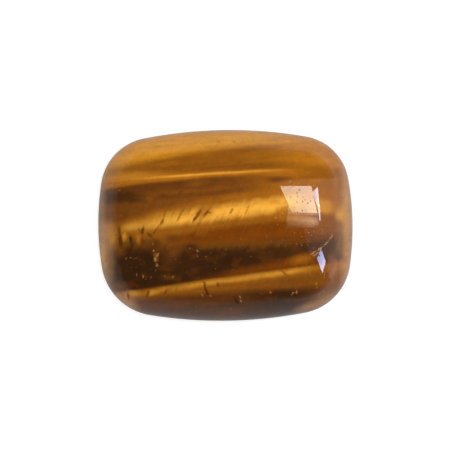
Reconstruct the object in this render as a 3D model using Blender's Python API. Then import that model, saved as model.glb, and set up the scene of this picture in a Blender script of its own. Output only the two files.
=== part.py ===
"""Tiger's eye cabochon: one polished stone, cut as a cushion with a high dome and a flat back.

The stone lies on its back. +X runs along its length, +Y across it and +Z up through the dome,
and the origin is the middle of the flat back. All sizes are in metres.
"""

import math

import bmesh
import bpy
from mathutils import Vector

# Driving dimensions.
LENGTH = 0.040  # end to end, at the girdle
WIDTH = 0.030  # side to side, at the girdle
THICKNESS = 0.010  # flat back to the top of the dome
GIRDLE_HEIGHT = 0.0010  # the widest line, above the back

# Plan of the girdle: two long bowed sides, two shorter bowed ends and four ground corners.
SIDE_RADIUS = 0.070
END_RADIUS = 0.0435
NORTH_EAST_RADIUS = 0.00815
NORTH_WEST_RADIUS = 0.00842
SOUTH_WEST_RADIUS = 0.00914
SOUTH_EAST_RADIUS = 0.00872

# Section of the dome: a superellipse, fuller along the stone than across it.
FULLNESS_ALONG = 2.6
FULLNESS_ACROSS = 2.15

# Edge between the dome and the back: (height, how far inside the girdle), from the back up.
BACK_EDGE = ((0.0, 0.00085), (0.00045, 0.00030), (0.00075, 0.00006))

# Facets: steps in each quarter of the plan, and levels up the dome.
END_STEPS = 7
CORNER_STEPS = 11
SIDE_STEPS = 9
DOME_LEVELS = 27

GOLDEN_BROWN = (0.30, 0.125, 0.022, 1.0)
POLISH_ROUGHNESS = 0.12
SHARP_EDGE = math.radians(40)


def clear_scene():
    """Removes whatever the open file shows."""
    for thing in list(bpy.data.objects):
        bpy.data.objects.remove(thing, do_unlink=True)


def arc(centre, radius, first, last, steps):
    """Points along an arc, without its last one."""
    turns = [first + (last - first) * step / steps for step in range(steps)]
    return [centre + radius * Vector((math.cos(turn), math.sin(turn))) for turn in turns]


def corner_centre(side_centre, end_centre, corner_radius):
    """Centre of the corner's arc, which touches the side's and the end's arcs from inside."""
    to_side = SIDE_RADIUS - corner_radius
    to_end = END_RADIUS - corner_radius
    between = end_centre - side_centre
    apart = between.length
    along = (to_side**2 - to_end**2 + apart**2) / (2 * apart)
    aside = math.sqrt(to_side**2 - along**2)
    forward = between / apart
    return side_centre + forward * along + Vector((forward.y, -forward.x)) * aside


def quarter(corner_radius):
    """Girdle of the quarter with +X and +Y, from the stone's end to the middle of its side."""
    side_centre = Vector((0.0, WIDTH / 2 - SIDE_RADIUS))
    end_centre = Vector((LENGTH / 2 - END_RADIUS, 0.0))
    centre = corner_centre(side_centre, end_centre, corner_radius)
    from_end = centre - end_centre
    from_side = centre - side_centre
    low = math.atan2(from_end.y, from_end.x)
    high = math.atan2(from_side.y, from_side.x)
    return (
        arc(end_centre, END_RADIUS, 0.0, low, END_STEPS)
        + arc(centre, corner_radius, low, high, CORNER_STEPS)
        + arc(side_centre, SIDE_RADIUS, high, math.pi / 2, SIDE_STEPS)
        + [Vector((0.0, WIDTH / 2))]
    )


def girdle_outline():
    """The whole girdle, anticlockwise from +X."""
    outline = []
    for radius, sign_x, sign_y in (
        (NORTH_EAST_RADIUS, 1, 1),
        (NORTH_WEST_RADIUS, -1, 1),
        (SOUTH_WEST_RADIUS, -1, -1),
        (SOUTH_EAST_RADIUS, 1, -1),
    ):
        points = [Vector((point.x * sign_x, point.y * sign_y)) for point in quarter(radius)]
        if sign_x * sign_y < 0:
            points.reverse()
        outline += points[:-1]
    return outline


def dome_point(girdle, height):
    """Where the dome above one point of the girdle reaches a height."""
    along = (girdle.x / (LENGTH / 2)) ** 2
    across = (girdle.y / (WIDTH / 2)) ** 2
    fullness = (FULLNESS_ALONG * along + FULLNESS_ACROSS * across) / (along + across)
    share = (1 - (height / THICKNESS) ** 2) / (1 - (GIRDLE_HEIGHT / THICKNESS) ** 2)
    scale = share ** (1 / fullness)
    oval = girdle / math.sqrt(along + across)
    cushion_share = scale * (2 - scale)
    return oval.lerp(girdle, cushion_share) * scale


def dome_heights():
    """Heights of the dome's levels, closer together in slope than in height, up to the last ring."""
    lowest = math.asin(GIRDLE_HEIGHT / THICKNESS)
    step = (math.pi / 2 - lowest) / DOME_LEVELS
    return [THICKNESS * math.sin(lowest + step * level) for level in range(DOME_LEVELS)]


def add_ring(shape, points, height):
    """A closed loop of edges at one height."""
    verts = [shape.verts.new((point.x, point.y, height)) for point in points]
    return [shape.edges.new((verts[i - 1], verts[i])) for i in range(len(verts))]


def inset_outline(outline, inset):
    """The girdle pulled in by a distance along its own normals."""
    inner = []
    for i, point in enumerate(outline):
        ahead = outline[(i + 1) % len(outline)] - outline[i - 1]
        inward = Vector((-ahead.y, ahead.x)).normalized()
        inner.append(point + inward * inset)
    return inner


def stone_shape():
    """The closed stone: back, ground edge, girdle and dome."""
    shape = bmesh.new()
    outline = girdle_outline()
    rings = [add_ring(shape, inset_outline(outline, inset), height) for height, inset in BACK_EDGE]
    for height in dome_heights():
        rings.append(add_ring(shape, [dome_point(point, height) for point in outline], height))
    for lower, upper in zip(rings, rings[1:]):
        bmesh.ops.bridge_loops(shape, edges=lower + upper)
    bmesh.ops.contextual_create(shape, geom=rings[0])
    top = bmesh.ops.contextual_create(shape, geom=rings[-1])["faces"]
    apex = bmesh.ops.poke(shape, faces=top)["verts"]
    for vert in apex:
        vert.co = (0.0, 0.0, THICKNESS)
    bmesh.ops.recalc_face_normals(shape, faces=shape.faces)
    return shape


def polished_stone():
    """The finish of the whole stone."""
    material = bpy.data.materials.new("polished_tigers_eye")
    material.use_nodes = True
    shader = material.node_tree.nodes["Principled BSDF"]
    shader.inputs["Base Color"].default_value = GOLDEN_BROWN
    shader.inputs["Roughness"].default_value = POLISH_ROUGHNESS
    shader.inputs["Metallic"].default_value = 0.0
    material.diffuse_color = GOLDEN_BROWN
    return material


def add_stone():
    """The stone, as one object."""
    mesh = bpy.data.meshes.new("stone")
    shape = stone_shape()
    shape.to_mesh(mesh)
    shape.free()
    mesh.shade_smooth()
    mesh.set_sharp_from_angle(angle=SHARP_EDGE)
    mesh.materials.append(polished_stone())
    stone = bpy.data.objects.new("stone", mesh)
    bpy.context.scene.collection.objects.link(stone)
    return stone


clear_scene()
add_stone()
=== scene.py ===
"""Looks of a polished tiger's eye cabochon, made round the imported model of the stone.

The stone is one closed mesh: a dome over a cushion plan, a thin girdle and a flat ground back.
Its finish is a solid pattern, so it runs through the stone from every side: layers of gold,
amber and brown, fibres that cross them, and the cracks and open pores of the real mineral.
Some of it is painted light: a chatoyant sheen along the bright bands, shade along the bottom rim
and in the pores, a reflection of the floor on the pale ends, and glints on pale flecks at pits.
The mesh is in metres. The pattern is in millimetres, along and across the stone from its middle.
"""

import logging
import math
from dataclasses import dataclass, field
from enum import Enum

import bmesh
import bpy
from mathutils import Color, Matrix, Vector, noise
from mathutils.bvhtree import BVHTree


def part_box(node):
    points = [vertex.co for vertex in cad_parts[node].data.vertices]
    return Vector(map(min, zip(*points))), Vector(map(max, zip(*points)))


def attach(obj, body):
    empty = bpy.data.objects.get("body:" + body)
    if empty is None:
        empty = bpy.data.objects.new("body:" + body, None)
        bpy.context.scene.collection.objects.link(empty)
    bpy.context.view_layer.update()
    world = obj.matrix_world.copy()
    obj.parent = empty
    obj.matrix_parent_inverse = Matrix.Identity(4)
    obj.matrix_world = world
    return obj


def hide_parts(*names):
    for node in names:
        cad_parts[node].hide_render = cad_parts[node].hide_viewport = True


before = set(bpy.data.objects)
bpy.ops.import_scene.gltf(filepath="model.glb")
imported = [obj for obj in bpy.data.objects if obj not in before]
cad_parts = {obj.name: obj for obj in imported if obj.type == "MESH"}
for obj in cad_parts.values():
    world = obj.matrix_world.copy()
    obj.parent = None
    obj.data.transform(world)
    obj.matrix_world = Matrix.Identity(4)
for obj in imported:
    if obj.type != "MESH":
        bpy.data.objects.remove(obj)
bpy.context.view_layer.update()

LOG = logging.getLogger("tigers_eye")
MM = 0.001
PATTERN_TURN = math.radians(0.8)
NOISE_MIDDLE = 0.5
Pair = tuple[float, float]
Triple = tuple[float, float, float]
Colour = tuple[float, float, float, float]
Corner = tuple[float, float, Triple]
Rim = list[bmesh.types.BMEdge]
Socket = bpy.types.NodeSocket


def paint(red: int, green: int, blue: int) -> Colour:
    """Turns display levels of 0 to 255 into linear light."""
    return *Color((red / 255, green / 255, blue / 255)).from_srgb_to_scene_linear(), 1.0


# ---- Layers, cracks and flecks of the mineral ----


class Tint(Enum):
    """Colours of the layers, as linear light."""

    STRAW = paint(236, 168, 60)
    HONEY = paint(206, 140, 44)
    GOLD = paint(224, 150, 36)
    ORANGE = paint(204, 128, 28)
    AMBER = paint(180, 108, 22)
    CARAMEL = paint(153, 90, 19)
    TAN = paint(178, 122, 56)
    SAND = paint(196, 142, 88)
    RUST = paint(121, 61, 8)
    CHESTNUT = paint(126, 71, 19)
    BARK = paint(98, 54, 17)
    UMBER = paint(72, 41, 14)
    PEAT = paint(54, 31, 13)


class Grain(Enum):
    """How a layer ends: along a clean plane, or frayed by the fibres that cross it."""

    CLEAN = "clean"
    FRAYED = "frayed"


STRAW, HONEY, GOLD, ORANGE, AMBER, CARAMEL, TAN, SAND, RUST, CHESTNUT, BARK, UMBER, PEAT = Tint
CLEAN, FRAYED = Grain
STATION = 17.0


@dataclass(frozen=True)
class Edge:
    """Edge of a layer: its height across the stone at the left, middle and right stations."""

    left: float
    middle: float
    right: float
    blur: float

    def slope(self) -> float:
        """How fast it rises along the stone."""
        return (self.right - self.left) / (2 * STATION)

    def bow(self) -> float:
        """How much it bends, per millimetre squared."""
        return (self.right + self.left - 2 * self.middle) / (2 * STATION**2)


@dataclass(frozen=True)
class Layer:
    """One layer of the stone, between two edges and, where it fades, two ends.

    An end is its place and how far it fades to either side. The dip says how far the layer leans
    across the stone for each millimetre of depth. Most layers are the stone's own colour; some paint
    its chatoyant sheen or the shade at its rim.
    """

    name: str
    tint: Tint
    upper: Edge
    lower: Edge
    start: Pair = (-24.0, 2.0)
    end: Pair = (24.0, 2.0)
    dip: float = 0.0
    strength: float = 1.0
    grain: Grain = CLEAN


@dataclass(frozen=True)
class Spot:
    """A patch, crack or fleck: its place, half length, half width, strength and slant in degrees.

    An open pore also has a depth.
    """

    tint: Tint
    along: float
    across: float
    length: float
    width: float
    strength: float = 1.0
    slant: float = 0.0
    depth: float = 0.0


NORTH = Edge(30.0, 30.0, 30.0, 1.0)
SOUTH = Edge(-30.0, -30.0, -30.0, 1.0)

LAYERS = (
    # Gold crown, down to the bright seam: the stone's gold with a painted chatoyant sheen along the crown,
    # its edge, the shoulder and the seam
    Layer("crown", GOLD, NORTH, Edge(9.0, 12.0, 12.9, 0.8)),
    # Painted sheen: the top rim brightened to straw
    Layer("crown_edge", STRAW, NORTH, Edge(14.0, 12.9, 12.1, 0.6), start=(4.0, 8.0), strength=0.45),
    Layer("shoulder", ORANGE, NORTH, Edge(11.8, 10.0, 9.2, 0.8), start=(8.0, 8.0), strength=0.8),
    Layer("under_crown", CHESTNUT, Edge(8.9, 11.7, 12.6, 0.4), Edge(7.9, 10.9, 12.0, 0.4), start=(0.5, 3.0),
          end=(9.0, 3.0), strength=0.3),
    Layer("crown_shade", CHESTNUT, Edge(8.7, 9.4, 10.3, 0.4), Edge(8.1, 8.5, 9.0, 0.3), start=(-6.0, 5.0),
          end=(9.0, 3.0), strength=0.4),
    Layer("seam_glow", AMBER, Edge(7.7, 8.3, 9.2, 0.3), Edge(5.9, 7.5, 7.6, 0.4), end=(12.0, 3.0)),
    Layer("left_glow", HONEY, Edge(8.5, 8.4, 8.5, 0.4), Edge(6.8, 7.3, 7.9, 0.3), end=(-12.0, 5.0),
          strength=0.6),
    Layer("seam", STRAW, Edge(7.1, 8.2, 9.0, 0.15), Edge(6.8, 7.9, 8.7, 0.15), start=(-11.0, 5.0),
          end=(6.0, 6.0), strength=0.75),
    # Brown between the seam and the broad band
    Layer("upper_brown", CHESTNUT, Edge(5.7, 7.5, 7.6, 0.4), Edge(0.4, 4.1, 5.4, 0.6), end=(5.0, 4.0)),
    Layer("dark_thread", BARK, Edge(5.7, 7.4, 7.6, 0.4), Edge(4.8, 6.1, 6.9, 0.4), end=(1.0, 4.0),
          strength=0.8),
    Layer("second_thread", BARK, Edge(3.9, 5.6, 7.3, 0.2), Edge(3.2, 4.9, 6.6, 0.2), start=(-12.0, 2.0),
          end=(4.0, 3.0), strength=0.45),
    Layer("left_shadow", UMBER, Edge(5.1, 5.0, 5.1, 0.5), Edge(2.9, 2.9, 2.9, 0.8), end=(-12.5, 2.5),
          strength=0.85, grain=FRAYED),
    Layer("left_brown", CHESTNUT, Edge(3.5, 3.5, 3.5, 0.6), Edge(0.4, 1.3, 2.3, 0.6), end=(-9.5, 2.5),
          strength=0.75, grain=FRAYED),
    # Broad bright band: a golden layer with the painted chatoyant sheen of the window light along it
    Layer("band_halo", CARAMEL, Edge(1.1, 4.6, 7.3, 0.8), Edge(-1.8, -0.2, 3.0, 0.6), dip=0.35, grain=FRAYED),
    Layer("band", STRAW, Edge(0.9, 3.0, 6.4, 1.0), Edge(-0.1, 1.0, 4.2, 0.7), start=(-13.0, 6.0),
          end=(10.5, 3.0), dip=0.35, grain=FRAYED),
    Layer("band_end", HONEY, Edge(0.8, 3.3, 5.0, 0.6), Edge(-1.3, 0.9, 3.0, 0.6), start=(13.0, 1.5),
          end=(16.4, 1.2), dip=0.35, strength=0.65, grain=FRAYED),
    # Dark lower half
    Layer("under_band", RUST, Edge(-3.3, -0.3, 1.6, 0.6), Edge(-2.7, -2.9, -2.0, 0.9), start=(-9.0, 3.5),
          end=(17.0, 3.0), grain=FRAYED),
    Layer("gap", CHESTNUT, Edge(-3.9, -0.2, 1.4, 0.6), Edge(-2.7, -2.8, -2.0, 0.9), start=(13.5, 2.5),
          strength=0.8, grain=FRAYED),
    Layer("lower_brown", UMBER, Edge(-2.8, -3.0, -1.6, 1.1), Edge(-10.8, -8.1, -5.6, 0.5), grain=FRAYED),
    Layer("deep_brown", PEAT, Edge(-4.2, -4.2, -2.7, 0.8), Edge(-10.4, -7.6, -5.3, 0.6), end=(6.0, 5.0),
          strength=0.6, grain=FRAYED),
    Layer("ember", RUST, Edge(-10.9, -7.2, -3.4, 0.7), Edge(-10.8, -8.1, -5.6, 0.4), start=(-2.0, 6.0),
          end=(14.3, 1.5), strength=0.9, grain=FRAYED),
    # Narrow bright band, a golden layer with a painted chatoyant sheen along it, and the foot below it
    Layer("lower_glow", CARAMEL, Edge(-10.7, -8.0, -6.0, 0.4), Edge(-11.9, -10.2, -9.5, 0.9)),
    Layer("lower_shade", CHESTNUT, Edge(-11.2, -9.1, -7.2, 0.5), Edge(-12.2, -10.5, -10.2, 0.6),
          start=(4.0, 8.0), strength=0.8),
    Layer("lower_band", HONEY, Edge(-10.9, -8.1, -5.9, 0.4), Edge(-11.7, -8.8, -6.6, 0.4), start=(-8.0, 6.0),
          end=(12.5, 3.0)),
    Layer("foot", BARK, Edge(-12.0, -10.1, -9.6, 0.8), SOUTH),
    # Painted shade: umber along the bottom rim
    Layer("heel", UMBER, Edge(-13.3, -12.0, -12.2, 0.8), SOUTH, start=(-12.0, 6.0), strength=0.55),
    Layer("foot_shadow", PEAT, Edge(-11.9, -10.2, -9.9, 0.6), SOUTH, start=(4.5, 4.0), end=(13.0, 2.5),
          strength=0.8),
    # Pale ends: the stone's paler ends with a painted reflection of the floor along the steep rim
    Layer("left_end", SAND, Edge(0.3, 0.3, 0.3, 1.1), SOUTH, end=(-18.0, 1.3), strength=0.85, grain=FRAYED),
    Layer("left_rim", SAND, NORTH, SOUTH, end=(-18.9, 0.7), strength=0.5, grain=FRAYED),
    Layer("right_end", SAND, NORTH, SOUTH, start=(18.2, 0.9), strength=0.85, grain=FRAYED),
)

PATCHES = (
    # Dark hollow, lower left
    Spot(PEAT, -12.4, -5.7, 3.8, 2.8, 0.7),
    Spot(PEAT, -0.4, -4.9, 3.8, 1.4, 0.7),
    Spot(BARK, -8.4, -4.5, 2.2, 2.7, 0.8),
    Spot(UMBER, -10.8, -2.7, 1.6, 1.4, 0.8),
    Spot(BARK, -13.0, -2.5, 2.7, 1.4, 0.85),
    Spot(CHESTNUT, -7.8, -3.9, 1.4, 1.4, 0.55),
    Spot(CHESTNUT, -8.7, -8.0, 2.2, 0.8, 0.5),
    # Left end
    Spot(SAND, -16.0, -12.0, 3.8, 2.0, 1.0, -30),
    Spot(HONEY, -17.7, -1.7, 1.4, 3.1, 0.8),
    Spot(STRAW, -19.2, -4.9, 1.1, 3.1, 0.7),
    Spot(CHESTNUT, -16.4, -9.5, 2.2, 1.2, 0.7),
    Spot(CARAMEL, -16.5, -3.7, 1.7, 1.9, 0.5),
    Spot(CARAMEL, -17.7, -5.8, 1.0, 3.2, 0.3),
    Spot(HONEY, -15.6, -1.7, 0.6, 1.1),
    Spot(AMBER, -13.4, -2.0, 0.7, 1.4),
    # Shades of the crown, of the seam and of the brown below it
    Spot(ORANGE, -9.3, 10.6, 3.2, 0.6, 0.6, 13),
    Spot(AMBER, -8.8, 9.5, 2.8, 0.6, 0.5, 6),
    Spot(CARAMEL, -10.8, 12.2, 1.0, 0.15, 0.35, 3),
    Spot(ORANGE, -9.5, 13.2, 3.5, 0.25, 0.35, 9),
    Spot(CARAMEL, -4.2, 6.5, 2.6, 0.9, 0.45, 8),
    Spot(BARK, 8.0, 7.0, 2.9, 0.8, 0.85, 3),
    Spot(AMBER, 13.6, 6.9, 2.5, 0.7, 0.5),
    Spot(UMBER, -9.5, 4.6, 1.3, 0.6, 0.5),
    Spot(CARAMEL, -11.6, 4.0, 1.1, 0.6, 0.5),
    # Shades of the broad band, the straw ones part of its painted sheen, and of the rust below it
    Spot(STRAW, -14.5, -0.2, 2.7, 0.9, 0.6, 8),
    Spot(CARAMEL, -3.2, 2.1, 2.7, 1.6, 0.75, 35),
    Spot(CARAMEL, 9.4, 1.8, 2.7, 1.9),
    Spot(CARAMEL, 7.4, 3.6, 1.4, 0.8, 0.4),
    Spot(STRAW, 4.8, 4.0, 1.2, 0.5, 0.3),
    Spot(STRAW, 6.8, 2.1, 1.6, 0.5, 0.35, 8),
    Spot(BARK, -8.1, -2.0, 2.0, 1.1, 0.8),
    Spot(PEAT, -5.4, -3.3, 1.9, 0.9, 0.75),
    Spot(CARAMEL, -3.8, -1.1, 1.6, 0.9, 0.6),
    Spot(BARK, 7.8, -2.3, 2.7, 0.9, 0.5),
    # Gold pieces that lengthen the narrow band and its painted sheen
    Spot(HONEY, -14.5, -10.6, 2.4, 0.8, 0.9, 3),
    Spot(HONEY, -11.3, -10.4, 1.6, 0.7, 1.0, 8),
    Spot(HONEY, -9.8, -9.8, 1.9, 0.5, 0.6, 10),
    # Right end
    Spot(AMBER, 11.6, -5.2, 3.0, 1.2, 0.6, 14),
    Spot(SAND, 16.7, -12.0, 4.7, 3.0, 0.75, 20),
    Spot(SAND, 13.0, -12.8, 3.5, 1.3, 0.65, 18),
    Spot(CHESTNUT, 16.5, -5.6, 1.1, 2.3, 0.6),
    Spot(STRAW, 18.0, 1.7, 1.6, 1.8, 0.55),
    Spot(CARAMEL, 17.7, -3.0, 0.9, 2.4, 0.4),
    Spot(BARK, 13.0, -9.8, 2.4, 0.8, 0.5),
)

CRACKS = (
    # Left end
    Spot(UMBER, -16.4, -0.8, 1.1, 0.4, 0.6, -90),
    Spot(UMBER, -16.2, -2.4, 1.4, 0.5, 0.75, -85),
    Spot(UMBER, -14.5, -2.5, 1.5, 0.4, 0.75, -80),
    Spot(PEAT, -14.6, -2.1, 0.7, 0.3, 0.6, -80),
    Spot(UMBER, -12.7, -0.8, 0.9, 0.3, 0.85, 80),
    Spot(UMBER, -13.3, -0.6, 0.6, 0.2, 0.5, -60),
    Spot(UMBER, -11.6, -1.5, 0.7, 0.4, 0.6, -40),
    # Row down the broad band
    Spot(BARK, -10.7, -0.8, 1.6, 0.25, 0.5, 55),
    Spot(RUST, -9.7, 0.6, 0.8, 0.35, 0.8, 65),
    Spot(RUST, -9.3, 1.7, 1.0, 0.25, 0.5, 75),
    Spot(CHESTNUT, -8.5, 3.0, 1.4, 0.25, 0.4, 60),
    Spot(CHESTNUT, -8.0, 1.9, 1.3, 0.2, 0.3, 70),
    Spot(RUST, -6.9, 1.6, 1.8, 0.25, 0.65, 60),
    Spot(CHESTNUT, -5.4, 2.3, 1.1, 0.2, 0.4, 65),
    Spot(RUST, -4.3, 1.5, 1.7, 0.35, 0.85, 55),
    Spot(BARK, -4.7, 0.9, 0.6, 0.3, 0.5, 45),
    Spot(RUST, -2.9, 1.9, 1.2, 0.3, 0.85, 55),
    Spot(RUST, -2.5, 1.9, 0.5, 0.25, 0.6, 10),
    Spot(RUST, 0.9, 2.2, 0.8, 0.25, 0.65, 60),
    Spot(CHESTNUT, 1.9, 1.0, 0.8, 0.3, 0.4, 45),
    Spot(CHESTNUT, 3.3, 2.4, 1.3, 0.2, 0.5, 70),
    # Narrow band and foot
    Spot(UMBER, -15.1, -10.9, 0.9, 0.25, 0.7, -85),
    Spot(UMBER, -12.0, -10.6, 0.8, 0.3, 0.7, 70),
    Spot(UMBER, -9.2, -10.2, 0.6, 0.25, 0.6, 70),
    Spot(BARK, -7.6, -9.8, 0.5, 0.2, 0.4, 75),
    Spot(PEAT, -3.2, -9.2, 0.9, 0.3, 0.75, -80),
    Spot(PEAT, -2.9, -10.2, 0.9, 0.3, 0.7, -60),
    Spot(UMBER, -1.2, -9.1, 0.6, 0.35, 0.5, -70),
    Spot(BARK, 9.0, -7.3, 1.2, 0.25, 0.5, -35),
    Spot(PEAT, 1.7, -11.6, 0.9, 0.4, 0.7, -70),
    # Crown
    Spot(BARK, -1.1, 13.0, 0.5, 0.15, 0.4, -20),
    Spot(BARK, 1.3, 13.0, 0.4, 0.15, 0.35, -30),
    Spot(UMBER, -7.0, 5.0, 0.7, 0.3, 0.4, 35),
)

# Pale flecks: the stone's pale grains, with painted glints where they sit on open pits
FLECKS = (
    # Chain of pale pieces in the hollow
    Spot(CARAMEL, -11.1, -2.8, 0.45, 0.3, 0.55, -75),
    Spot(CARAMEL, -10.6, -4.8, 1.0, 0.55, 0.65, -75, depth=0.05),
    Spot(SAND, -11.0, -3.9, 0.25, 0.25, 0.65, -80, depth=0.03),
    Spot(SAND, -10.4, -4.5, 0.5, 0.25, 0.45, 50),
    Spot(SAND, -10.8, -5.2, 0.5, 0.3, 0.55, -60),
    Spot(TAN, -10.5, -6.1, 0.35, 0.3, 0.6, -85),
    # Grains round it
    Spot(SAND, -4.3, -3.9, 0.25, 0.2, 0.55, -80, depth=0.04),
    Spot(SAND, -4.3, -4.7, 0.25, 0.15, 0.4, -80),
    Spot(SAND, -5.4, -3.5, 0.2, 0.15, 0.35, -70),
    Spot(SAND, -12.7, -7.9, 0.45, 0.15, 0.65, -85, depth=0.04),
    Spot(SAND, -13.7, -7.6, 0.3, 0.15, 0.35, -75),
    Spot(TAN, -15.3, -5.1, 0.25, 0.25, 0.4),
    Spot(TAN, -14.6, -5.0, 0.2, 0.2, 0.4),
    Spot(CARAMEL, -14.0, -5.1, 0.2, 0.2, 0.4),
    Spot(SAND, -8.1, -7.9, 0.2, 0.15, 0.55, 45, depth=0.04),
    Spot(SAND, -9.3, -7.8, 0.2, 0.15, 0.35, -35),
    Spot(SAND, -11.4, -8.0, 0.25, 0.15, 0.35, 70),
    Spot(CARAMEL, -8.9, -3.4, 0.35, 0.15, 0.4, 65),
    # Open pits of the foot
    Spot(SAND, -3.6, -10.7, 0.35, 0.15, 0.55, -70, depth=0.04),
    Spot(SAND, -2.3, -10.8, 0.3, 0.15, 0.5, -45),
    Spot(SAND, 2.3, -11.0, 0.3, 0.2, 0.65, -45, depth=0.05),
    Spot(SAND, 2.4, -11.7, 0.4, 0.2, 0.65, -60, depth=0.05),
    Spot(HONEY, 6.9, -10.3, 0.4, 0.2, 0.4, -75),
    Spot(SAND, 10.4, -10.5, 0.45, 0.1, 0.55, 60, depth=0.03),
    Spot(SAND, 11.0, -10.3, 0.5, 0.15, 0.55, 80, depth=0.03),
    Spot(HONEY, 10.7, -10.4, 0.45, 0.1, 0.4, 5),
    Spot(HONEY, 14.0, -9.0, 0.3, 0.15, 0.5, -80, depth=0.03),
    Spot(HONEY, 14.2, -9.6, 0.2, 0.15, 0.4, -65),
    # Single grains
    Spot(CARAMEL, 2.9, -2.2, 0.4, 0.1, 0.4, 10),
    Spot(CARAMEL, 9.2, -0.9, 0.2, 0.1, 0.5, -20),
    Spot(HONEY, -16.4, 5.4, 0.2, 0.15, 0.5, 20),
    Spot(CARAMEL, -13.8, 4.3, 0.35, 0.15, 0.4, -25),
    Spot(CARAMEL, 1.1, -6.8, 0.35, 0.15, 0.4, 25),
)

VEINLET = (
    Spot(SAND, 13.5, -4.2, 0.7, 0.15, 0.7, 35),
    Spot(SAND, 13.9, -4.4, 0.75, 0.15, 0.6, 35),
    Spot(SAND, 14.5, -3.6, 0.75, 0.15, 0.7, 35),
    Spot(SAND, 15.5, -2.8, 0.8, 0.15, 0.65, 45),
    Spot(SAND, 16.3, -1.8, 0.85, 0.15, 0.55, 60),
)

# ---- Form of the stone ----


def new_object(name: str, data: bpy.types.ID | None) -> bpy.types.Object:
    """Makes an object and puts it in the scene.

    Args:
        name: Its name.
        data: Its mesh, light or camera.

    Returns:
        The object.
    """
    thing = bpy.data.objects.new(name, data)
    bpy.context.scene.collection.objects.link(thing)
    return thing


def finished(name: str, shape: bmesh.types.BMesh) -> bpy.types.Object:
    """Turns a finished shape into an object.

    Args:
        name: Name of the object and of its mesh.
        shape: The shape, which is used up.

    Returns:
        The object.
    """
    mesh = bpy.data.meshes.new(name)
    shape.to_mesh(mesh)
    shape.free()
    return new_object(name, mesh)


@dataclass(frozen=True)
class Quarter:
    """One quarter of the girdle: half an end, one ground corner and half a side."""

    half_length: float
    half_width: float
    end_radius: float
    side_radius: float
    corner_radius: float

    def reach(self, toward: Vector) -> float:
        """Finds how far the girdle lies from the middle of the stone.

        Args:
            toward: Unit direction in plan, with both parts positive.

        Returns:
            The distance in metres.
        """
        end = Vector((self.half_length - self.end_radius, 0.0))
        side = Vector((0.0, self.half_width - self.side_radius))
        corner = self.corner_centre(end, side)
        end_stop = end + (corner - end).normalized() * self.end_radius
        side_stop = side + (corner - side).normalized() * self.side_radius
        if toward.cross(end_stop) >= 0:
            return self.crossing(toward, end, self.end_radius)
        if toward.cross(side_stop) <= 0:
            return self.crossing(toward, side, self.side_radius)
        return self.crossing(toward, corner, self.corner_radius)

    def corner_centre(self, end: Vector, side: Vector) -> Vector:
        """Finds the centre of the corner's arc, which touches both bowed arcs from inside.

        Args:
            end: Centre of the end's arc.
            side: Centre of the side's arc.

        Returns:
            The centre in plan.
        """
        to_side = self.side_radius - self.corner_radius
        to_end = self.end_radius - self.corner_radius
        between = end - side
        apart = between.length
        along = (to_side**2 - to_end**2 + apart**2) / (2 * apart)
        aside = math.sqrt(to_side**2 - along**2)
        forward = between / apart
        return side + forward * along + Vector((forward.y, -forward.x)) * aside

    @staticmethod
    def crossing(toward: Vector, centre: Vector, radius: float) -> float:
        """Finds how far along a ray from the middle it leaves a circle."""
        ahead = toward.dot(centre)
        return ahead + math.sqrt(ahead**2 - centre.length_squared + radius**2)


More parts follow.
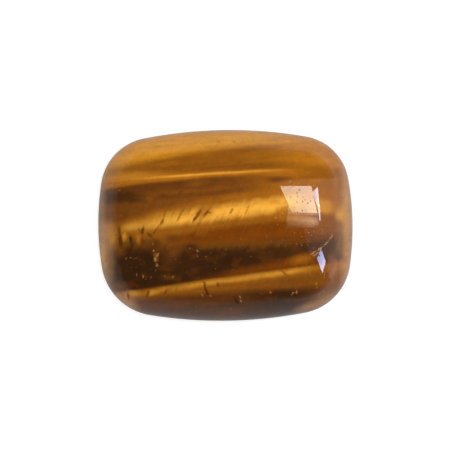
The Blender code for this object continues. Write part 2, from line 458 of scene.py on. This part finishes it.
@dataclass
class Stone:
    """The stone's surface: a dome over a cushion plan, a thin girdle and a flat ground back."""

    length: float
    width: float
    thickness: float
    pores: tuple[Spot, ...] = ()
    girdle_height: float = 0.0010
    side_radius: float = 0.070
    end_radius: float = 0.0435
    west_corner_radii: Pair = (0.00914, 0.00842)
    east_corner_radii: Pair = (0.00872, 0.00815)
    fullness_along: float = 2.6
    fullness_across: float = 2.15
    edge_inset: float = 0.00085
    edge_curve: float = 1.8
    edge_rings: int = 8
    columns: int = 336
    rows: int = 252
    crowding: float = 0.6
    near_top: float = 1e-6
    sharp_edge: float = math.radians(28)
    pore_reach: float = 1.5
    pore_floor: float = 0.6
    pore_wander: float = 0.45
    pore_grain: float = 0.25
    quarters: list[Quarter] = field(init=False)

    def __post_init__(self) -> None:
        """Sets up the girdle's quarters: the two in the west, then the east, each from the south."""
        shared = (self.length / 2, self.width / 2, self.end_radius, self.side_radius)
        radii = self.west_corner_radii + self.east_corner_radii
        self.quarters = [Quarter(*shared, radius) for radius in radii]

    def girdle(self, toward: Vector) -> Vector:
        """Finds the girdle's point in one unit direction, both in plan."""
        quarter = self.quarters[2 * (toward.x >= 0) + (toward.y >= 0)]
        return toward * quarter.reach(Vector((abs(toward.x), abs(toward.y))))

    def place(self, spot: Vector) -> Vector:
        """Moves one corner of the flat starting grid to its place on the dome.

        Args:
            spot: The corner on the grid, from -1 to 1 both ways.

        Returns:
            The point on the dome.
        """
        ring = max(abs(spot.x), abs(spot.y))
        if ring < self.near_top:
            return Vector((0.0, 0.0, self.thickness))
        share = ring * (1 + self.crowding * (1 - ring))
        girdle = self.girdle(Vector((spot.x * self.length, spot.y * self.width)).normalized())
        along = (2 * girdle.x / self.length) ** 2
        across = (2 * girdle.y / self.width) ** 2
        fullness = (self.fullness_along * along + self.fullness_across * across) / (along + across)
        oval = girdle / math.sqrt(along + across)
        plan = oval.lerp(girdle, share * (2 - share)) * share
        fall = share**fullness * (1 - (self.girdle_height / self.thickness) ** 2)
        return Vector((plan.x, plan.y, self.thickness * math.sqrt(1 - fall)))

    def build(self) -> bpy.types.Object:
        """Builds the closed mesh.

        Returns:
            The stone as one object.
        """
        shape = bmesh.new()
        bmesh.ops.create_grid(shape, x_segments=self.columns, y_segments=self.rows, size=1.0)
        for vert in shape.verts:
            vert.co = self.place(vert.co)
        rim = [edge for edge in shape.edges if edge.is_boundary]
        for pore in self.pores:
            self.open_pore(shape, pore)
        back = self.grind_edge(shape, rim)
        bmesh.ops.contextual_create(shape, geom=back)
        bmesh.ops.recalc_face_normals(shape, faces=shape.faces)
        stone = finished("tigers_eye_stone", shape)
        stone.data.shade_smooth()
        stone.data.set_sharp_from_angle(angle=self.sharp_edge)
        return stone

    def open_pore(self, shape: bmesh.types.BMesh, pore: Spot) -> None:
        """Presses one open pore into the dome, with a ragged rim.

        Args:
            shape: The dome's mesh.
            pore: The pore.
        """
        middle = Matrix.Rotation(-PATTERN_TURN, 2) @ Vector((pore.along, pore.across))
        turn = Matrix.Rotation(PATTERN_TURN - math.radians(pore.slant), 2)
        for vert in shape.verts:
            away = Vector((vert.co.x, vert.co.y)) / MM - middle
            if away.length > self.pore_reach:
                continue
            away = turn @ away
            ragged = self.pore_wander * noise.noise(vert.co / (self.pore_grain * MM))
            inside = 1 - math.hypot(away.x / pore.length, away.y / pore.width) + ragged
            vert.co.z -= pore.depth * MM * min(max(inside, 0.0), self.pore_floor) / self.pore_floor

    def grind_edge(self, shape: bmesh.types.BMesh, rim: Rim) -> Rim:
        """Carries the rim down to the flat back.

        Args:
            shape: The dome's mesh.
            rim: The dome's open edges.

        Returns:
            The open edges of the back.
        """
        for ring in range(1, self.edge_rings + 1):
            made = bmesh.ops.extrude_edge_only(shape, edges=rim)["geom"]
            rim = [part for part in made if isinstance(part, bmesh.types.BMEdge) and part.is_boundary]
            below = ring / self.edge_rings
            inset = self.edge_inset * below**self.edge_curve
            for vert in {vert for edge in rim for vert in edge.verts}:
                girdle = self.girdle(Vector((vert.co.x, vert.co.y)).normalized())
                outward = Vector((girdle.x / self.length**2, girdle.y / self.width**2)).normalized()
                plan = girdle - outward * inset
                vert.co = (plan.x, plan.y, self.girdle_height * (1 - below))
        return rim


# ---- Finish of the stone ----


@dataclass(frozen=True)
class Waves:
    """Drawn-out noise: its waves to a millimetre each way, and its finer waves."""

    along: float
    across: float
    down: float
    detail: float = 2.0


@dataclass(frozen=True)
class Grains:
    """Scattered grains, at most one to a cell.

    The radius is in millimetres, the full core in cells. The share is that of cells with a grain.
    """

    per_mm: float
    radius: float
    core: float
    share: float


class Bench:
    """Adds shader nodes to one tree and joins them."""

    def __init__(self, tree: bpy.types.NodeTree) -> None:
        """Takes over a tree and empties it."""
        self.tree = tree
        tree.nodes.clear()

    def add(self, kind: str, inputs: dict | None = None, **settings: object) -> bpy.types.Node:
        """Adds one node.

        Args:
            kind: Blender's name for the node.
            inputs: What goes into its sockets, a value or another node's output.
            settings: The node's own settings.

        Returns:
            The node.
        """
        node = self.tree.nodes.new(kind)
        for name, setting in settings.items():
            setattr(node, name, setting)
        for key, given in (inputs or {}).items():
            if isinstance(given, Socket):
                self.tree.links.new(given, node.inputs[key])
            else:
                node.inputs[key].default_value = given
        return node

    def math(self, how: str, *terms: float | Socket) -> Socket:
        """Works out one sum with a Math node."""
        return self.add("ShaderNodeMath", dict(enumerate(terms)), operation=how).outputs[0]

    def vector(self, how: str, *terms: Vector | Socket) -> Socket:
        """Works out one sum of places or directions."""
        return self.add("ShaderNodeVectorMath", dict(enumerate(terms)), operation=how).outputs[0]

    def join(self, x: float | Socket, y: float | Socket, z: float | Socket) -> Socket:
        """Joins three numbers into a place."""
        return self.add("ShaderNodeCombineXYZ", {0: x, 1: y, 2: z}).outputs[0]

    def split(self, place: Socket) -> list[Socket]:
        """Splits a place into its three numbers."""
        return list(self.add("ShaderNodeSeparateXYZ", {0: place}).outputs)

    def ease(self, value: Socket, low: float | Socket, high: float | Socket, top: float = 1.0) -> Socket:
        """Rises smoothly from 0, where the value is low, to the top, where it is high."""
        inputs = {"Value": value, "From Min": low, "From Max": high, "To Max": top}
        return self.add("ShaderNodeMapRange", inputs, interpolation_type="SMOOTHSTEP").outputs["Result"]

    def spread(self, share: Socket, low: float, high: float) -> Socket:
        """Stretches a share that runs from 0 to 1, so that it runs from low to high."""
        return self.math("MULTIPLY_ADD", share, high - low, low)

    def noise(self, place: Socket, scale: float, detail: float, output: str = "Fac") -> Socket:
        """Adds noise with so many waves to each unit of the place, mostly from 0.25 to 0.75."""
        inputs = {"Vector": place, "Scale": scale, "Detail": detail}
        return self.add("ShaderNodeTexNoise", inputs).outputs[output]

    def drawn_noise(self, place: Socket, waves: Waves) -> Socket:
        """Adds noise that is drawn out, read at a place in millimetres."""
        drawn = self.vector("MULTIPLY", place, Vector((waves.along, waves.across, waves.down)))
        return self.noise(drawn, 1.0, waves.detail)

    def scatter(self, place: Socket, grains: Grains) -> tuple[Socket, Socket]:
        """Scatters grains.

        Args:
            place: Where the pattern is read, in millimetres.
            grains: The grains.

        Returns:
            How full each place is of the nearest grain, and that grain's own number, from 0 to 1.
        """
        cells = self.add("ShaderNodeTexVoronoi", {"Vector": place, "Scale": grains.per_mm}).outputs
        near = self.ease(cells["Distance"], grains.radius * grains.per_mm, grains.core)
        return near, self.add("ShaderNodeSeparateColor", {0: cells["Color"]}).outputs[0]

    def mix(self, share: Socket, colour: Colour | Socket, tint: Tint) -> Socket:
        """Lays a share of a tint over a colour."""
        inputs = {"Factor": share, 6: colour, 7: tint.value}
        return self.add("ShaderNodeMix", inputs, data_type="RGBA").outputs[2]

    def brighten(self, colour: Socket, factor: Socket) -> Socket:
        """Multiplies a colour."""
        return self.add("ShaderNodeHueSaturation", {"Color": colour, "Value": factor}).outputs[0]


@dataclass(frozen=True)
class SilkFinish:
    """Gloss of the stone, and how strongly its fibres, streaks and pores show, the pores with painted shade.
    """

    roughness: float = 0.42
    metallic: float = 0.08
    anisotropy: float = 0.8
    polish_roughness: float = 0.015
    stone_ior: float = 1.54
    ground_roughness: float = 0.62
    ground_dust: float = 0.35
    ground_blend: float = 0.12
    sheen_lean: float = 0.30
    lean: float = 0.46
    lean_change: float = -0.006
    bundles: Waves = Waves(1.1, 0.10, 0.10)
    fibres: Waves = Waves(2.3, 0.20, 0.20)
    silk: Waves = Waves(5.5, 0.40, 0.40)
    sways: Waves = Waves(0.09, 0.3, 0.12)
    streaks: Waves = Waves(0.07, 1.5, 0.1, 4.0)
    clouds: Waves = Waves(0.45, 0.7, 0.45, 5.0)
    stains: Waves = Waves(0.5, 0.7, 0.5, 5.0)
    sway: float = 0.55
    fray: float = 0.75
    fine_fray: float = 0.5
    streak_fall: float = -0.09
    fibre_contrast: float = 0.24
    silk_contrast: float = 0.12
    streak_contrast: float = 0.58
    cloud_contrast: float = 0.36
    mottle_contrast: float = 0.30
    mottles_per_mm: float = 1.7
    jags_per_mm: float = 2.6
    fine_detail: float = 3.0
    jag: float = 0.5
    crown: Pair = (5.5, 8.5)
    crown_fibres: float = 0.3
    body_streaks: float = 0.5
    dark_half: Pair = (1.0, -3.0)
    stained: Pair = (0.50, 0.68)
    stain_strength: float = 0.28
    dust: Grains = Grains(1.3, 0.19, 0.0, 0.35)
    light_dust: float = 0.25
    dark_dust: float = 0.45
    veinlet_core: float = 0.3
    crack_core: float = 0.35
    fleck_core: float = 0.25
    pores: Grains = Grains(2.3, 0.13, 0.03, 0.45)
    pore_shade: float = 0.4
    polish_loss: float = 0.8
    recess: float = 0.02


class TigersEye:
    """The solid pattern of tiger's eye, polished above the girdle and ground below it."""

    def __init__(self, finish: SilkFinish, stone: Stone) -> None:
        """Starts the material.

        Args:
            finish: Gloss and contrast of the stone.
            stone: The stone that it is made for.
        """
        self.finish = finish
        self.stone = stone
        self.material = bpy.data.materials.new("tigers_eye")
        self.material.use_nodes = True
        self.bench = Bench(self.material.node_tree)
        self.layer_tree = self.make_layer_tree()
        self.find_places()

    def find_places(self) -> None:
        """Sets up the places that the pattern is read at, all in millimetres."""
        bench, finish = self.bench, self.finish
        seen = bench.add("ShaderNodeTexCoord").outputs["Object"]
        turned = {"Vector": seen, "Rotation": (0.0, 0.0, PATTERN_TURN), "Scale": (1 / MM,) * 3}
        self.place = bench.add("ShaderNodeMapping", turned).outputs[0]
        self.along, self.across, self.height = bench.split(self.place)
        self.depth = bench.math("SUBTRACT", self.stone.thickness / MM, self.height)
        lean = bench.math("MULTIPLY_ADD", self.along, finish.lean_change, finish.lean)
        off_fibre = bench.math("SUBTRACT", self.along, bench.math("MULTIPLY", self.across, lean))
        fibre_place = bench.join(off_fibre, self.across, self.height)
        bundles = bench.drawn_noise(fibre_place, finish.bundles)
        self.fibres = bench.drawn_noise(fibre_place, finish.fibres)
        self.silk = bench.drawn_noise(fibre_place, finish.silk)
        sway = bench.drawn_noise(self.place, finish.sways)
        sway = bench.math("MULTIPLY_ADD", sway, finish.sway, -finish.sway * NOISE_MIDDLE)
        self.clean_across = bench.math("ADD", self.across, sway)
        fray = bench.math("MULTIPLY_ADD", bundles, finish.fray, self.clean_across)
        fray = bench.math("MULTIPLY_ADD", self.fibres, finish.fray * finish.fine_fray, fray)
        middle = finish.fray * NOISE_MIDDLE * (1 + finish.fine_fray)
        self.frayed_across = bench.math("SUBTRACT", fray, middle)
        wander = bench.noise(self.place, finish.jags_per_mm, finish.fine_detail, "Color")
        aside, off = bench.add("ShaderNodeSeparateColor", {0: wander}).outputs[:2]
        jagged_along = bench.math("MULTIPLY_ADD", aside, finish.jag, self.along)
        jagged_across = bench.math("MULTIPLY_ADD", off, finish.jag, self.across)
        middle = -finish.jag * NOISE_MIDDLE
        jagged = {"Vector": bench.join(jagged_along, jagged_across, 0.0), "Location": (middle, middle, 0.0)}
        self.jagged = bench.add("ShaderNodeMapping", jagged).outputs[0]

    def make_layer_tree(self) -> bpy.types.NodeTree:
        """Makes the node group that says how much of a layer is at a place.

        Returns:
            The node group.
        """
        tree = bpy.data.node_groups.new("layer", "ShaderNodeTree")
        names = ["Along", "Across", "Depth", "Dip"]
        for edge in ("Upper", "Lower"):
            names += [f"{edge} {part}" for part in ("Middle", "Slope", "Bow", "Blur")]
        names += ["Start", "Start Full", "End", "End Full", "Strength"]
        for name in names:
            tree.interface.new_socket(name, in_out="INPUT", socket_type="NodeSocketFloat")
        tree.interface.new_socket("Share", in_out="OUTPUT", socket_type="NodeSocketFloat")
        bench = Bench(tree)
        given = bench.add("NodeGroupInput").outputs
        across = bench.math("MULTIPLY_ADD", given["Depth"], given["Dip"], given["Across"])
        above = []
        for edge in ("Lower", "Upper"):
            rise = bench.math("MULTIPLY_ADD", given["Along"], given[f"{edge} Bow"], given[f"{edge} Slope"])
            height = bench.math("MULTIPLY_ADD", given["Along"], rise, given[f"{edge} Middle"])
            away = bench.math("SUBTRACT", across, height)
            blur = given[f"{edge} Blur"]
            above.append(bench.ease(away, bench.math("MULTIPLY", blur, -1.0), blur))
        between = bench.math("MULTIPLY", above[0], bench.math("SUBTRACT", 1.0, above[1]))
        after_start = bench.ease(given["Along"], given["Start"], given["Start Full"])
        before_end = bench.ease(given["Along"], given["End"], given["End Full"])
        ends = bench.math("MULTIPLY", after_start, before_end)
        share = bench.math("MULTIPLY", bench.math("MULTIPLY", between, ends), given["Strength"])
        bench.add("NodeGroupOutput", {"Share": share})
        return tree

    def layer_share(self, layer: Layer) -> Socket:
        """Says how much of a layer is at each place.

        Args:
            layer: The layer.

        Returns:
            Its share, from 0 to 1.
        """
        across = self.frayed_across if layer.grain is FRAYED else self.clean_across
        inputs = {"Along": self.along, "Across": across, "Depth": self.depth}
        inputs |= {"Dip": layer.dip, "Strength": layer.strength}
        for name, edge in (("Upper", layer.upper), ("Lower", layer.lower)):
            inputs |= {f"{name} Middle": edge.middle, f"{name} Slope": edge.slope()}
            inputs |= {f"{name} Bow": edge.bow(), f"{name} Blur": edge.blur}
        start, end = layer.start, layer.end
        inputs |= {"Start": start[0] - start[1], "Start Full": sum(start)}
        inputs |= {"End": sum(end), "End Full": end[0] - end[1]}
        group = {"node_tree": self.layer_tree, "label": layer.name}
        return self.bench.add("ShaderNodeGroup", inputs, **group).outputs["Share"]

    def spot_share(self, spot: Spot, core: float = 0.0) -> Socket:
        """Says how much of a spot is at each place.

        Args:
            spot: The patch, crack or fleck.
            core: How much of its radius is full.

        Returns:
            Its share, from 0 to its strength.
        """
        fit = {
            "Vector": self.jagged,
            "Location": (spot.along, spot.across, 0.0),
            "Rotation": (0.0, 0.0, math.radians(spot.slant)),
            "Scale": (spot.length, spot.width, 1.0),
        }
        fitted = {0: self.bench.add("ShaderNodeMapping", fit, vector_type="TEXTURE").outputs[0]}
        inside = self.bench.add("ShaderNodeTexGradient", fitted, gradient_type="SPHERICAL").outputs["Fac"]
        return self.bench.ease(inside, 0.0, 1.0 - core, spot.strength)

    def lay_layers(self) -> Socket:
        """Lays the layers and patches over each other.

        Returns:
            The colour.
        """
        colour = CARAMEL.value
        for layer in LAYERS:
            colour = self.bench.mix(self.layer_share(layer), colour, layer.tint)
        for patch in PATCHES:
            colour = self.bench.mix(self.spot_share(patch), colour, patch.tint)
        return colour

    def grain_colour(self, colour: Socket) -> Socket:
        """Draws fibres, streaks and cloudiness into the colour.

        Args:
            colour: The layers' colour.

        Returns:
            The colour with its grain.
        """
        bench, finish = self.bench, self.finish
        crown = bench.ease(self.clean_across, *finish.crown)
        tilted = bench.math("MULTIPLY_ADD", self.along, finish.streak_fall, self.clean_across)
        streaks = bench.drawn_noise(bench.join(self.along, tilted, self.height), finish.streaks)
        clouds = bench.drawn_noise(self.place, finish.clouds)
        mottle = bench.noise(self.place, finish.mottles_per_mm, finish.fine_detail)
        fibrous = bench.spread(crown, 1.0, finish.crown_fibres)
        streaky = bench.spread(crown, finish.body_streaks, 1.0)
        factor = 1.0
        for pattern, contrast, share in (
            (clouds, finish.cloud_contrast, None),
            (mottle, finish.mottle_contrast, None),
            (self.fibres, finish.fibre_contrast, fibrous),
            (self.silk, finish.silk_contrast, fibrous),
            (streaks, finish.streak_contrast, streaky),
        ):
            centred = bench.math("SUBTRACT", pattern, NOISE_MIDDLE)
            if share is not None:
                centred = bench.math("MULTIPLY", centred, share)
            factor = bench.math("MULTIPLY_ADD", centred, contrast, factor)
        return bench.brighten(colour, factor)

    def add_dust(self, colour: Socket) -> Socket:
        """Scatters golden dust and rusty stains through the dark half of the stone.

        Args:
            colour: The stone's colour.

        Returns:
            The colour with dust and stains.
        """
        bench, finish = self.bench, self.finish
        dark_half = bench.ease(self.clean_across, *finish.dark_half)
        stains = bench.ease(bench.drawn_noise(self.place, finish.stains), *finish.stained)
        stains = bench.math("MULTIPLY", stains, dark_half)
        colour = bench.mix(bench.math("MULTIPLY", stains, finish.stain_strength), colour, RUST)
        near, number = bench.scatter(self.jagged, finish.dust)
        dust = bench.math("MULTIPLY", near, bench.ease(number, finish.dust.share, 0.0))
        dust = bench.math("MULTIPLY", dust, bench.spread(dark_half, finish.light_dust, finish.dark_dust))
        return bench.mix(dust, colour, TAN)

    def add_flaws(self, colour: Socket) -> tuple[Socket, Socket, Socket]:
        """Adds the cracks, the flecks, some of them painted glints, and the pores with their painted shade.

        Args:
            colour: The stone's colour.

        Returns:
            The colour, how deep each place lies under the polish, and how much polish is left.
        """
        bench, finish = self.bench, self.finish
        recess = 0.0
        flaws = ((VEINLET, finish.veinlet_core), (CRACKS, finish.crack_core), (FLECKS, finish.fleck_core))
        for spots, core in flaws:
            for spot in spots:
                share = self.spot_share(spot, core)
                colour = bench.mix(share, colour, spot.tint)
                if spots is CRACKS:
                    recess = bench.math("MAXIMUM", recess, share)
        near, number = bench.scatter(self.place, finish.pores)
        pores = bench.math("MULTIPLY", near, bench.math("LESS_THAN", number, finish.pores.share))
        # Painted shade: the open pores are darkened towards peat
        colour = bench.mix(bench.math("MULTIPLY", pores, finish.pore_shade), colour, PEAT)
        recess = bench.math("MAXIMUM", recess, pores)
        polish = bench.math("SUBTRACT", 1.0, bench.math("MULTIPLY", recess, finish.polish_loss))
        return colour, recess, polish

    def dress(self, piece: bpy.types.Object) -> None:
        """Builds the material and gives it to the stone.

        Args:
            piece: The stone's object.
        """
        bench, finish = self.bench, self.finish
        colour, recess, polish = self.add_flaws(self.add_dust(self.grain_colour(self.lay_layers())))
        girdle = self.stone.girdle_height / MM
        ground = bench.ease(self.height, girdle, girdle - finish.ground_blend)
        colour = bench.mix(bench.math("MULTIPLY", ground, finish.ground_dust), colour, TAN)
        roughness = bench.spread(ground, finish.roughness, finish.ground_roughness)
        polish = bench.math("MULTIPLY", polish, bench.math("SUBTRACT", 1.0, ground))
        dent = {"Height": recess, "Distance": finish.recess * MM}
        normal = bench.add("ShaderNodeBump", dent, invert=True).outputs[0]
        facing = bench.add("ShaderNodeNewGeometry").outputs["Normal"]
        tangent = bench.vector("CROSS_PRODUCT", facing, Vector((finish.sheen_lean, 1.0, 0.0)).normalized())
        shader = bench.add("ShaderNodeBsdfPrincipled", {
            "Base Color": colour,
            "Metallic": finish.metallic,
            "Roughness": roughness,
            "IOR": finish.stone_ior,
            "Normal": normal,
            "Specular IOR Level": 0.0,
            "Anisotropic": finish.anisotropy,
            "Tangent": tangent,
            "Coat Weight": polish,
            "Coat Roughness": finish.polish_roughness,
            "Coat IOR": finish.stone_ior,
            "Coat Normal": normal,
        })
        bench.add("ShaderNodeOutputMaterial", {"Surface": shader.outputs[0]})
        piece.data.materials.append(self.material)


# ---- Studio ----


@dataclass(frozen=True)
class Lamp:
    """A soft light: where it hangs, how wide it is and how strong."""

    name: str
    place: Triple
    size: float
    power: float


@dataclass(frozen=True)
class Pane:
    """A bright pane that only the polish mirrors: its corners, in rows from the left.

    A corner is the spot on the dome that mirrors it, in millimetres, and its light.
    """

    name: str
    rows: tuple[tuple[Corner, ...], ...]


PANES = (
    Pane("window", (
        ((8.35, 6.0, (8.0, 7.2, 5.6)), (13.2, 6.05, (10.0, 8.8, 7.2))),
        ((10.15, 1.95, (7.4, 6.4, 3.6)), (14.1, 1.85, (9.6, 10.6, 9.4))),
    )),
    Pane("window_heel", (
        ((9.62, 3.05, (4.4, 3.4, 2.0)), (9.72, 3.05, (4.4, 3.4, 2.0))),
        ((9.5, 1.8, (1.8, 1.8, 1.1)), (10.17, 1.95, (2.6, 2.4, 1.4))),
    )),
    Pane("window_skirt", (
        ((9.7, 1.95, (1.6, 1.4, 1.2)), (14.1, 1.85, (3.6, 3.0, 2.6))),
        ((9.35, 1.5, (1.2, 1.2, 0.8)), (14.2, 1.4, (3.2, 2.4, 1.8))),
    )),
    Pane("window_side", (
        ((13.35, 5.0, (6.0, 6.5, 8.0)), (14.2, 5.95, (13.0, 14.0, 16.0))),
        ((14.1, 2.95, (7.0, 8.0, 9.5)), (14.5, 2.95, (14.0, 15.0, 17.0))),
    )),
    Pane("window_foot", (
        ((14.15, 3.1, (8.0, 8.5, 10.0)), (14.5, 3.1, (12.0, 13.0, 15.0))),
        ((14.45, 0.7, (10.0, 11.0, 13.0)), (14.62, 0.8, (11.0, 12.0, 14.0))),
    )),
    Pane("sill", (
        ((9.35, 1.5, (1.2, 1.2, 0.8)), (13.4, 1.4, (4.0, 2.8, 1.8)), (14.2, 1.3, (2.8, 2.2, 2.0))),
        ((9.35, 1.05, (2.6, 2.0, 0.9)), (13.4, 0.65, (8.4, 5.6, 3.4)), (14.35, 0.6, (3.0, 2.4, 2.2))),
        ((9.4, -0.4, (0.2, 0.15, 0.1)), (13.6, -0.3, (0.6, 0.5, 0.4)), (14.4, -0.1, (0.4, 0.4, 0.4))),
    )),
    Pane("low_window", (
        ((14.7, -3.45, (4.5, 6.4, 11.0)), (15.45, -5.5, (11.0, 13.0, 19.5))),
        ((14.1, -5.1, (5.5, 6.6, 11.0)), (14.95, -7.45, (9.0, 11.6, 18.5))),
    )),
    Pane("high_haze", (
        ((8.0, 6.9, (0.2, 0.2, 0.2)), (17.4, 7.3, (0.6, 0.6, 0.6))),
        ((11.0, 0.4, (0.1, 0.1, 0.1)), (17.9, 0.4, (0.8, 0.8, 0.8))),
    )),
    Pane("low_haze", (
        ((11.8, 0.4, (0.2, 0.2, 0.2)), (17.9, 0.4, (0.9, 0.8, 0.7))),
        ((12.8, -4.7, (0.2, 0.2, 0.3)), (17.5, -5.4, (1.0, 0.9, 0.9))),
    )),
    Pane("corner_haze", (
        ((15.8, -5.1, (0.7, 0.7, 0.9)), (17.5, -5.4, (1.0, 0.9, 1.0))),
        ((15.9, -8.0, (0.3, 0.3, 0.4)), (16.6, -8.4, (1.2, 1.2, 1.4))),
    )),
)


@dataclass
class Studio:
    """Floor, lights, mirrored panes and camera round the stone."""

    stone: Stone
    view_width: float = 0.07078
    aside: Pair = (-0.00007, 0.00006)
    lens: float = 150.0
    sensor: float = 36.0
    clip: Pair = (0.01, 10.0)
    floor_radius: float = 1.5
    floor_sides: int = 96
    floor_near: float = 0.36
    floor_far: float = 0.5
    floor_blend: Pair = (-0.10, 0.02)
    floor_glow: float = 0.62
    floor_mirror_glow: float = 0.5
    mirror_glow_reach: float = 0.12
    fill: float = 0.45
    far_white: float = 1.0
    sky_low: float = 0.45
    sky_high: float = 0.03
    sky_rise: float = 0.22
    normal_step: float = 0.0003
    lamps: tuple[Lamp, ...] = (
        Lamp("top_light", (0.0, 0.0, 0.45), 0.40, 1.25),
        Lamp("window_light", (0.30, 0.12, 0.36), 0.25, 0.62),
    )
    pane_distance: float = 0.5
    pane_cuts: int = 5
    panes: tuple[Pane, ...] = PANES

    def camera_height(self) -> float:
        """Height of the camera above the back of the stone."""
        return self.stone.girdle_height + self.view_width * self.lens / self.sensor

    def add_camera(self) -> None:
        """Hangs the camera straight above the stone."""
        data = bpy.data.cameras.new("camera")
        data.lens = self.lens
        data.sensor_width = self.sensor
        data.clip_start, data.clip_end = self.clip
        camera = new_object("camera", data)
        camera.location = (*self.aside, self.camera_height())
        camera.rotation_euler = (0.0, 0.0, -PATTERN_TURN)
        bpy.context.scene.camera = camera

    def add_floor(self) -> None:
        """Lays the pale floor that the stone rests on, brighter towards the window in its mirror."""
        shape = bmesh.new()
        bmesh.ops.create_circle(shape, cap_ends=True, segments=self.floor_sides, radius=self.floor_radius)
        floor = finished("floor", shape)
        material = bpy.data.materials.new("pale_floor")
        material.use_nodes = True
        bench = Bench(material.node_tree)
        path = bench.add("ShaderNodeLightPath").outputs
        right, back, _ = bench.split(bench.add("ShaderNodeTexCoord").outputs["Object"])
        right = bench.ease(right, 0.0, self.mirror_glow_reach)
        shade = bench.spread(bench.ease(back, *self.floor_blend), self.floor_near, self.floor_far)
        seen = bench.math("MULTIPLY", path["Is Camera Ray"], self.floor_glow)
        mirrored = bench.math("MULTIPLY", path["Is Glossy Ray"], self.floor_mirror_glow)
        strength = bench.math("MULTIPLY_ADD", mirrored, right, seen)
        matt = bench.add("ShaderNodeBsdfDiffuse", {"Color": shade})
        glow = bench.add("ShaderNodeEmission", {"Strength": strength})
        both = bench.add("ShaderNodeAddShader", {0: matt.outputs[0], 1: glow.outputs[0]})
        bench.add("ShaderNodeOutputMaterial", {"Surface": both.outputs[0]})
        floor.data.materials.append(material)

    def add_lamps(self) -> None:
        """Hangs the soft lights, which the polish doesn't mirror."""
        for lamp in self.lamps:
            data = bpy.data.lights.new(lamp.name, "AREA")
            data.shape = "DISK"
            data.size = lamp.size
            data.energy = lamp.power
            light = new_object(lamp.name, data)
            light.location = lamp.place
            light.rotation_euler = Vector(lamp.place).to_track_quat("Z", "Y").to_euler()
            light.visible_camera = False
            light.visible_glossy = False

    def add_room(self) -> None:
        """Makes the room: white behind the stone, dim in its mirror and mild as a fill."""
        world = bpy.data.worlds.new("room")
        bpy.context.scene.world = world
        world.use_nodes = True
        bench = Bench(world.node_tree)
        path = bench.add("ShaderNodeLightPath").outputs
        height = bench.split(bench.add("ShaderNodeTexCoord").outputs["Generated"])[2]
        mirror = bench.spread(bench.ease(height, 0.0, self.sky_rise), self.sky_low, self.sky_high)
        light = self.fill
        for ray, seen in (("Is Glossy Ray", mirror), ("Is Camera Ray", self.far_white)):
            light = bench.add("ShaderNodeMix", {"Factor": path[ray], 2: light, 3: seen}).outputs[0]
        shader = bench.add("ShaderNodeBackground", {"Strength": light})
        bench.add("ShaderNodeOutputWorld", {"Surface": shader.outputs[0]})

    def mirrored(self, surface: BVHTree, spot: Vector) -> Vector:
        """Finds what a spot on the dome mirrors to the camera.

        Args:
            surface: The stone's surface.
            spot: The spot, along and across the stone in millimetres.

        Returns:
            The mirrored point.
        """
        eye = Vector((0.0, 0.0, self.camera_height()))
        plan = Matrix.Rotation(-PATTERN_TURN, 3, "Z") @ Vector((spot.x, spot.y, 0.0)) * MM
        hit = surface.ray_cast(Vector((plan.x, plan.y, eye.z)), Vector((0.0, 0.0, -1.0)))[0]
        steps = [Vector((x, y, 0.0)) * self.normal_step for x in (-1, 0, 1) for y in (-1, 0, 1)]
        normal = sum((surface.find_nearest(hit + step)[1] for step in steps), Vector()).normalized()
        return hit + (hit - eye).normalized().reflect(normal) * self.pane_distance

    def add_panes(self, piece: bpy.types.Object) -> None:
        """Hangs each pane where the dome mirrors it, adding its light to what is behind it.

        Args:
            piece: The stone's object.
        """
        surface = BVHTree.FromObject(piece, bpy.context.evaluated_depsgraph_get())
        material = bpy.data.materials.new("pane_glow")
        material.use_nodes = True
        bench = Bench(material.node_tree)
        light = bench.add("ShaderNodeAttribute", attribute_name="light").outputs["Color"]
        glow = bench.add("ShaderNodeEmission", {"Color": light})
        clear = bench.add("ShaderNodeBsdfTransparent")
        both = bench.add("ShaderNodeAddShader", {0: glow.outputs[0], 1: clear.outputs[0]})
        bench.add("ShaderNodeOutputMaterial", {"Surface": both.outputs[0]})
        for pane in self.panes:
            shape = bmesh.new()
            lights = shape.verts.layers.float_color.new("light")
            across, down = len(pane.rows[0]) - 1, len(pane.rows) - 1
            bmesh.ops.create_grid(shape, x_segments=across, y_segments=down, size=1.0)
            for vert, (east, north, colour) in zip(shape.verts, sum(pane.rows, ())):
                vert.co = (east, north, 0.0)
                vert[lights] = (*colour, 1.0)
            bmesh.ops.subdivide_edges(shape, edges=shape.edges, cuts=self.pane_cuts, use_grid_fill=True)
            for vert in shape.verts:
                vert.co = self.mirrored(surface, vert.co)
            thing = finished(pane.name, shape)
            thing.data.materials.append(material)
            for ray in ("camera", "diffuse", "shadow", "transmission"):
                setattr(thing, f"visible_{ray}", False)

    def set_up(self, piece: bpy.types.Object) -> None:
        """Builds the whole studio round the stone.

        Args:
            piece: The stone's object.
        """
        bpy.context.scene.view_settings.view_transform = "Standard"
        self.add_camera()
        self.add_floor()
        self.add_lamps()
        self.add_room()
        self.add_panes(piece)


def main() -> None:
    """Builds the stone, its finish and the studio."""
    logging.basicConfig(level=logging.INFO)
    low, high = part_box("stone")
    pores = tuple(fleck for fleck in FLECKS if fleck.depth)
    stone = Stone(high.x - low.x, high.y - low.y, high.z - low.z, pores)
    piece = stone.build()
    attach(piece, "root")
    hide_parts("stone")
    LOG.info("%s: %d faces and %d open pores", piece.name, len(piece.data.polygons), len(pores))
    TigersEye(SilkFinish(), stone).dress(piece)
    LOG.info("%s: %d layers, %d cracks", piece.data.materials[0].name, len(LAYERS), len(CRACKS))
    studio = Studio(stone)
    studio.set_up(piece)
    LOG.info("studio: %d panes", len(studio.panes))


if __name__ == "__main__":
    main()
